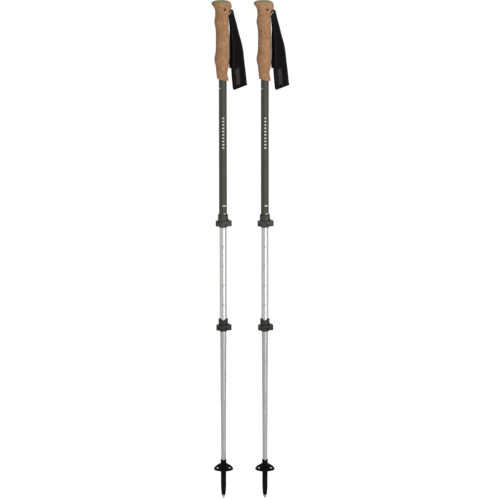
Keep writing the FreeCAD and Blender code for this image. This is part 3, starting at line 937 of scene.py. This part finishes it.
    def build(self) -> list[Piece]:
        """Make the webbing, hide the CAD strap nodes that it replaces, and bind its stitches to the strap
        body.

        Returns:
            The new pieces.
        """
        name = self.side.label
        loop, tail = self.loop(), self.tail()
        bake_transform(loop)
        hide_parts(f"{name}_wrist_strap", f"{name}_strap_root")
        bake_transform(tail)
        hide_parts(f"{name}_strap_tail")
        self.pieces = [loop, tail]
        self.threads = self.sew()
        for piece in self.threads:
            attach(piece, f"{name}_strap")
        return self.pieces + self.threads

    def dress(self, finishes: "Finishes") -> None:
        """Give the webbing and its seams their finish."""
        for piece in self.pieces:
            piece.data.materials.append(finishes.webbing)
        for piece in self.threads:
            light = piece.name.endswith("patch")
            piece.data.materials.append(finishes.patch_thread if light else finishes.seam_thread)


@dataclass
class TubePrint:
    """Ink printed on one tube of a pole, a hair above its surface.

    Angles round the tube have the camera's side at -90 degrees.
    """

    side: Side
    radius: float
    lift: float = 0.03
    columns: int = 13
    pieces: list[Piece] = field(default_factory=list)

    def round_tube(self, turn: float, across: np.ndarray) -> np.ndarray:
        """X and Y of points on the print.

        Args:
            turn: angle round the tube, in degrees.
            across: distance of each point from there round the tube, in mm.

        Returns:
            The points, rows by 2, in mm.
        """
        reach = self.radius + self.lift
        angle = math.radians(turn) + across / reach
        return np.stack([self.side.axis_x + reach * np.cos(angle), reach * np.sin(angle)], axis=-1)

    def strip(self, name: str, height: float, turn: float, width: float, depth: float) -> Piece:
        """One printed rectangle that follows the tube's surface.

        Args:
            name: end of the piece's name.
            height, turn: place of its middle, in mm and degrees.
            width, depth: its size, in mm.

        Returns:
            The print.
        """
        ring = self.round_tube(turn, np.linspace(-width / 2, width / 2, self.columns))
        rows = np.array([height - depth / 2, height + depth / 2])
        around = np.broadcast_to(ring, (2, self.columns, 2))
        upright = np.broadcast_to(rows[:, None, None], (2, self.columns, 1))
        grid = np.concatenate([around, upright], axis=-1)
        return surface(f"{self.side.label}_{name}", grid)


@dataclass
class LengthScale(TubePrint):
    """Printed length scale on one middle tube: plain numbers every 50 mm."""

    radius: float = 9.0
    first_height: float = 504.0
    spacing: float = 50.0
    numbers: tuple[int, ...] = (125, 120, 115, 110)
    figure_height: float = 4.2
    figure_share: float = 0.72
    turn: float = -96.0
    line_drop: float = 4.0
    line_size: tuple[float, float] = (6.4, 0.6)

    def figure(self, number: int, height: float) -> Piece:
        """One number, wrapped round the tube.

        A flat text of x across and y up goes to the point at angle x / radius
        round the tube, at height y.

        Args:
            number: the figure to print.
            height: height of its middle, in mm.

        Returns:
            The wrapped mesh.
        """
        name = f"{self.side.label}_scale_{number}"
        text = bpy.data.curves.new(name, "FONT")
        text.body = str(number)
        text.align_x = "CENTER"
        text.align_y = "CENTER"
        text.size = self.figure_height / self.figure_share
        text.resolution_u = 3
        flat = put("flat_figure", text)
        bpy.context.view_layer.update()
        shown = flat.evaluated_get(bpy.context.evaluated_depsgraph_get())
        mesh = bpy.data.meshes.new_from_object(shown)
        bpy.data.objects.remove(flat)
        place = np.empty(len(mesh.vertices) * 3)
        mesh.vertices.foreach_get("co", place)
        x, y = place.reshape(-1, 3)[:, :2].T
        wrapped = np.column_stack([self.round_tube(self.turn, x), height + y - HOLD_HEIGHT]) * MM
        mesh.vertices.foreach_set("co", wrapped.ravel())
        mesh.name = name
        mesh.update()
        return put(name, mesh)

    def build(self) -> list[Piece]:
        """Print every number with its line and bind them to the middle tube.

        Returns:
            The new pieces.
        """
        for index, number in enumerate(self.numbers):
            height = self.first_height + self.spacing * index
            line_height = height - self.line_drop
            self.pieces.append(self.figure(number, height))
            self.pieces.append(self.strip(f"scale_line_{index}", line_height, self.turn, *self.line_size))
        for piece in self.pieces:
            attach(piece, f"{self.side.label}_middle_section")
        return self.pieces

    def dress(self, finishes: "Finishes") -> None:
        """Give the print its ink."""
        for piece in self.pieces:
            piece.data.materials.clear()
            piece.data.materials.append(finishes.scale_ink)


@dataclass
class PlainMarks(TubePrint):
    """Plain printed marks on one painted tube: a column of bars, a dash and a band, with a short pale
    strip that is a painted highlight on the upper lock collar's top rim.

    A mark holds the height and the angle of its middle, and its width round the
    tube and its depth along it, in mm.
    """

    radius: float = 10.0
    bar_count: int = 10
    bar_spacing: float = 8.4
    bar_top: float = 981.0
    bar_turn: float = -84.0
    bar_size: tuple[float, float] = (4.6, 3.2)
    dash: tuple[float, float, float, float] = (1056.0, -138.0, 5.5, 2.2)
    band: tuple[float, float, float, float] = (757.7, -68.0, 9.0, 2.6)
    # Painted highlight: a short pale strip just above the upper lock collar stands in for the glint on the
    # collar's top rim.
    short_band: tuple[float, float, float, float] = (737.4, -64.0, 5.5, 1.9)

    def build(self) -> list[Piece]:
        """Print the marks, with the painted collar highlight, and bind them to the painted tube.

        Returns:
            The new pieces.
        """
        self.pieces = [
            self.strip("plain_dash", *self.dash),
            self.strip("plain_band", *self.band),
            self.strip("painted_collar_glint", *self.short_band),
        ]
        for index in range(self.bar_count):
            height = self.bar_top - self.bar_spacing * index
            self.pieces.append(self.strip(f"plain_bar_{index}", height, self.bar_turn, *self.bar_size))
        for piece in self.pieces:
            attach(piece, f"{self.side.label}_grip_section")
        return self.pieces

    def dress(self, finishes: "Finishes") -> None:
        """Give the print and the painted collar highlight their pale ink."""
        for piece in self.pieces:
            piece.data.materials.append(finishes.pale_ink)


@dataclass
class Finishes:
    """All materials of the poles, each made once."""

    cork: Material
    cap: Material
    core: Material
    webbing: Material
    paint: Material
    middle_silver: Material
    lower_silver: Material
    upper_lock: Material
    lower_lock: Material
    tip: Material
    steel: Material
    black_steel: Material
    carbide: Material
    scale_ink: Material
    pale_ink: Material
    strap_pin: Material
    seam_thread: Material
    patch_thread: Material

    @classmethod
    def mixed(cls) -> "Finishes":
        """Build every finish."""
        return cls(
            cork=Cork().build(),
            cap=CapRubber().build(),
            core=MouldedNylon("black_grip_core_nylon", "#1b1b1a", "#262625").build(),
            webbing=Webbing().build(),
            paint=PaintedTube().build(),
            middle_silver=SilverTube("bright_anodised_aluminium", "#a9a9a7", "#bfbfbd").build(),
            lower_silver=SilverTube("satin_anodised_aluminium", "#8f8f8d", "#a8a8a6").build(),
            upper_lock=MouldedNylon("grey_lock_nylon", "#232422", "#474844", scuffed="#7c7d78").build(),
            lower_lock=MouldedNylon("black_lock_nylon", "#151614", "#30312e",
                                    gloss=0.2, scuffed="#666762").build(),
            tip=MouldedNylon("black_tip_nylon", "#060606", "#0c0c0b",
                             grain=0.5, smooth=0.45, gloss=0.05, scuffed="#1c1c1a").build(),
            steel=PlainSteel().build(),
            black_steel=BlackenedSteel().build(),
            carbide=GroundCarbide().build(),
            scale_ink=Ink("grey_scale_ink", "#454543", "#5c5c5a").build(),
            # The pale ink also colours the painted highlight on the upper lock collar.
            pale_ink=Ink("pale_ink_and_painted_glint", "#d2d1c8", "#e4e3dc").build(),
            strap_pin=StainedPin().build(),
            seam_thread=Thread("black_sewing_thread", "#161413", "#26231f").build(),
            patch_thread=Thread("grey_sewing_thread", "#6b6965", "#8b8985").build(),
        )

    def for_node(self, node: str) -> Material:
        """Finish of a CAD node.

        Args:
            node: node name without the side.

        Returns:
            The material that the real piece has.
        """
        table = {
            "cork_grip": self.cork,
            "grip_cap": self.cap,
            "grip_core": self.core,
            "strap_wedge": self.core,
            "middle_bush": self.core,
            "lower_bush": self.core,
            "strap_pin": self.strap_pin,
            "strap_root": self.webbing,
            "wrist_strap": self.webbing,
            "strap_tail": self.webbing,
            "upper_tube": self.paint,
            "middle_tube": self.middle_silver,
            "lower_tube": self.lower_silver,
            "tip_ferrule": self.tip,
            "basket": self.tip,
            "carbide_tip": self.carbide,
        }
        if node in table:
            return table[node]
        if node.endswith("nut"):
            return self.steel
        if node.endswith(("collar", "lever")):
            return self.upper_lock if node.startswith("upper") else self.lower_lock
        return self.black_steel


@dataclass
class Pole:
    """One pole: its CAD nodes, its strap, its length scale and its plain marks."""

    side: Side

    def __post_init__(self) -> None:
        """Plan the pieces that are added to the CAD nodes."""
        self.strap = WristStrap(self.side)
        self.scale = LengthScale(self.side)
        self.marks = PlainMarks(self.side)

    def build(self) -> list[Piece]:
        """Make the soft and printed pieces of the pole.

        Returns:
            The new pieces.
        """
        return self.strap.build() + self.scale.build() + self.marks.build()

    def dress(self, finishes: Finishes) -> int:
        """Give every piece of the pole its finish.

        Args:
            finishes: the materials.

        Returns:
            Number of CAD nodes dressed.
        """
        for part in (self.strap, self.scale, self.marks):
            part.dress(finishes)
        prefix = self.side.label + "_"
        own = [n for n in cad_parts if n.startswith(prefix)]
        for name in own:
            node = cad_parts[name]
            node.data.materials.clear()
            node.data.materials.append(finishes.for_node(name[len(prefix):]))
        return len(own)


@dataclass(frozen=True)
class SoftBox:
    """Rectangular soft box: its place and size in metres, and its power in watts."""

    name: str
    place: tuple[float, float, float]
    size: tuple[float, float]
    power: float

    def hang(self, aim: Iterable[float]) -> None:
        """Put the lamp into the scene.

        Args:
            aim: point that it looks at, in metres.
        """
        light = bpy.data.lights.new(self.name, "AREA")
        light.shape = "RECTANGLE"
        light.size, light.size_y = self.size
        light.energy = self.power
        lamp = put(self.name, light)
        lamp.location = Vector(self.place)
        lamp.rotation_euler = (Vector(aim) - Vector(self.place)).to_track_quat("-Z", "Y").to_euler()


@dataclass
class Studio:
    """White floor, plain soft light and the photograph's camera.

    The floor and the camera's values are in mm and degrees, the lamps' in metres.
    """

    floor_height: float = -1170.2
    floor_reach: float = 9000.0
    floor_grey: float = 0.93
    floor_glow: float = 0.62
    sky_light: float = 0.42
    lit_middle: tuple[float, float, float] = (0.05, 0.0, -0.5)
    lamps: tuple[SoftBox, ...] = (
        SoftBox("right_soft_box", (1.15, -1.75, -0.3), (1.3, 2.4), 34.0),
        SoftBox("left_soft_box", (-2.2, -0.9, -0.2), (0.6, 2.2), 2.0),
    )
    aim: tuple[float, float, float] = (67.6, 0.0, -527.0)
    distance: float = 12000.0
    elevation: float = 12.0
    frame_width: float = 1256.0
    roll: float = -0.05
    sensor_width: float = 36.0

    def floor(self) -> None:
        """Large floor that the camera sees as white, with the object's shadow kept."""
        reach, height = self.floor_reach * MM, self.floor_height * MM
        corners = [(-reach, -reach), (reach, -reach), (reach, reach), (-reach, reach)]
        mesh = bpy.data.meshes.new("studio_floor")
        mesh.from_pydata([(x, y, height) for x, y in corners], [], [(0, 1, 2, 3)])
        piece = put("studio_floor", mesh)
        g = FinishGraph("white_studio_floor")
        g.shader.inputs["Base Color"].default_value = (*[self.floor_grey] * 3, 1.0)
        g.shader.inputs["Roughness"].default_value = 0.9
        g.shader.inputs["Emission Color"].default_value = (1.0, 1.0, 1.0, 1.0)
        g.join(g.glow(0.0, self.floor_glow), 0, g.shader, "Emission Strength")
        mesh.materials.append(g.material)

    def sky(self) -> None:
        """Pale world: white to the camera and to reflections, softer as a light."""
        world = bpy.data.worlds.new("studio_world")
        bpy.context.scene.world = world
        g = Graph(world)
        back = g.add("ShaderNodeBackground", Color=(1.0, 1.0, 1.0, 1.0))
        g.join(g.glow(self.sky_light, 1.0), 0, back, "Strength")
        output = g.add("ShaderNodeOutputWorld")
        g.join(back, 0, output, "Surface")

    def camera(self) -> None:
        """Long lens that looks along +Y and a little down on the middle of the poles."""
        lens = bpy.data.cameras.new("photo_camera")
        lens.sensor_width = self.sensor_width
        lens.lens = self.sensor_width * self.distance / self.frame_width
        lens.clip_end = 100.0
        camera = put("photo_camera", lens)
        down = math.radians(self.elevation)
        back = Vector((0.0, -math.cos(down), math.sin(down)))
        camera.location = (Vector(self.aim) + back * self.distance) * MM
        tilt = Matrix.Rotation(math.radians(90.0 - self.elevation), 4, "X")
        camera.rotation_euler = (tilt @ Matrix.Rotation(math.radians(self.roll), 4, "Z")).to_euler()
        bpy.context.scene.camera = camera

    def build(self) -> None:
        """Set up floor, light and camera."""
        self.floor()
        self.sky()
        for lamp in self.lamps:
            lamp.hang(self.lit_middle)
        self.camera()
        bpy.context.scene.view_settings.view_transform = "Standard"


def main() -> None:
    """Build and dress both poles, then the studio."""
    logging.basicConfig(level=logging.INFO, format="%(message)s")
    finishes = Finishes.mixed()
    for side in Side:
        pole = Pole(side)
        made = pole.build()
        dressed = pole.dress(finishes)
        LOG.info("%s pole: %d nodes dressed, %d pieces made", side.label, dressed, len(made))
    Studio().build()


if __name__ == "__main__":
    main()
